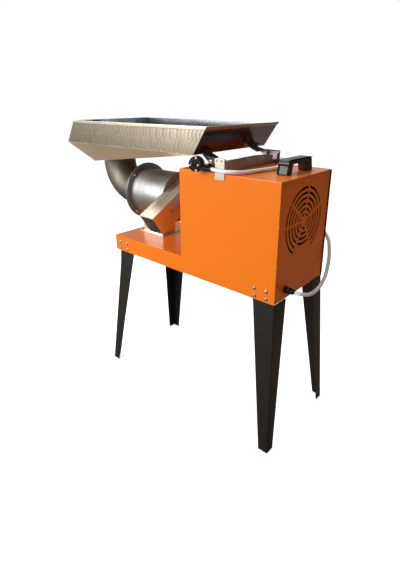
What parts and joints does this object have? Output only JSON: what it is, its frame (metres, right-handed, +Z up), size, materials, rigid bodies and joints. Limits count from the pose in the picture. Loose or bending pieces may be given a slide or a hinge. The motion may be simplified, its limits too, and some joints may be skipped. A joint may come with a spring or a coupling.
{
  "type": "grape crusher destemmer",
  "caption": "Electric fruit crusher on four splayed legs: orange motor cabinet with vented end, stainless feed hopper, pipe elbow, round drum and side stem chute.",
  "frame": {"origin": "centre of the footprint of the machine without its lead, on the floor", "axes": "+Z up, +X from the feed elbow towards the vented motor end, +Y towards the side away from the stem chute"},
  "size_m": [0.7935, 0.3064, 0.776],
  "materials": {
    "orange_paint": "gloss",
    "black_paint": "semi-gloss",
    "zinc": "satin",
    "black_plastic": "matte",
    "rubber": "matte",
    "stainless": "polished",
    "cast_metal": "cast",
    "bearing_steel": "ground",
    "grey_metal": "satin",
    "green_button": "gloss",
    "red_button": "gloss",
    "white_cable": "satin"
  },
  "bodies": {
    "frame": {"near_side_panel": "orange_paint", "far_side_panel": "orange_paint", "top_panel": "orange_paint", "bulkhead_panel": "orange_paint", "deck_plate": "orange_paint", "deck_skirt": "orange_paint", "rear_panel": "orange_paint", "leg_near_rear": "black_paint", "leg_far_rear": "black_paint", "leg_near_front": "black_paint", "leg_far_front": "black_paint", "rear_panel_screws": "zinc", "leg_bolts": "zinc", "handle_screws": "zinc", "strap_screws": "zinc", "pivot_bolts": "zinc", "flange_bolts": "zinc", "chute_bolts": "zinc", "must_duct_bolts": "zinc", "neck_bolts": "zinc", "motor_bolts": "zinc", "carry_handle": "black_plastic", "switch_box": "black_plastic", "terminal_box": "black_plastic", "cable_gland": "black_plastic", "flange_gasket": "rubber", "shaft_seal": "rubber", "power_plug": "rubber", "hinge_cross_plate": "stainless", "hinge_ear_near": "stainless", "hinge_ear_far": "stainless", "ear_strap_near": "stainless", "ear_strap_far": "stainless", "feed_elbow": "stainless", "drum_casing": "stainless", "drum_screen": "stainless", "drum_rear_disc": "stainless", "discharge_chute": "stainless", "must_duct": "stainless", "bearing_neck": "cast_metal", "motor_front_shield": "cast_metal", "motor_rear_shield": "cast_metal", "motor_housing": "cast_metal", "shaft_bearings": "bearing_steel", "stator_core": "bearing_steel", "fan_cowl": "grey_metal", "capacitor": "grey_metal", "power_cord": "white_cable"},
    "hopper": {"hopper_shell": "stainless", "hopper_arm_near": "stainless", "hopper_arm_far": "stainless"},
    "rotor": {"rotor_shaft": "stainless", "beater_paddles": "stainless", "shaft_coupling": "cast_metal", "motor_shaft": "bearing_steel", "cooling_fan": "black_plastic"},
    "start_button": {"start_button": "green_button"},
    "stop_button": {"stop_button": "red_button"}
  },
  "joints": [
    {"name": "hopper_tilt", "type": "hinge", "parent": "frame", "child": "hopper", "pos_m": [0.173, 0.00575, 0.697], "axis": [0, 1, 0], "range_deg": [0, 90]},
    {"name": "rotor_spin", "type": "hinge", "parent": "frame", "child": "rotor", "pos_m": [-0.039, 0.00575, 0.563], "axis": [1, 0, 0], "continuous": true},
    {"name": "start_press", "type": "slide", "parent": "frame", "child": "start_button", "axis": [0, -1, 0], "range_m": [0, 0.003], "stiffness_N_per_m": 400},
    {"name": "stop_press", "type": "slide", "parent": "frame", "child": "stop_button", "axis": [0, -1, 0], "range_m": [0, 0.003], "stiffness_N_per_m": 400}
  ]
}
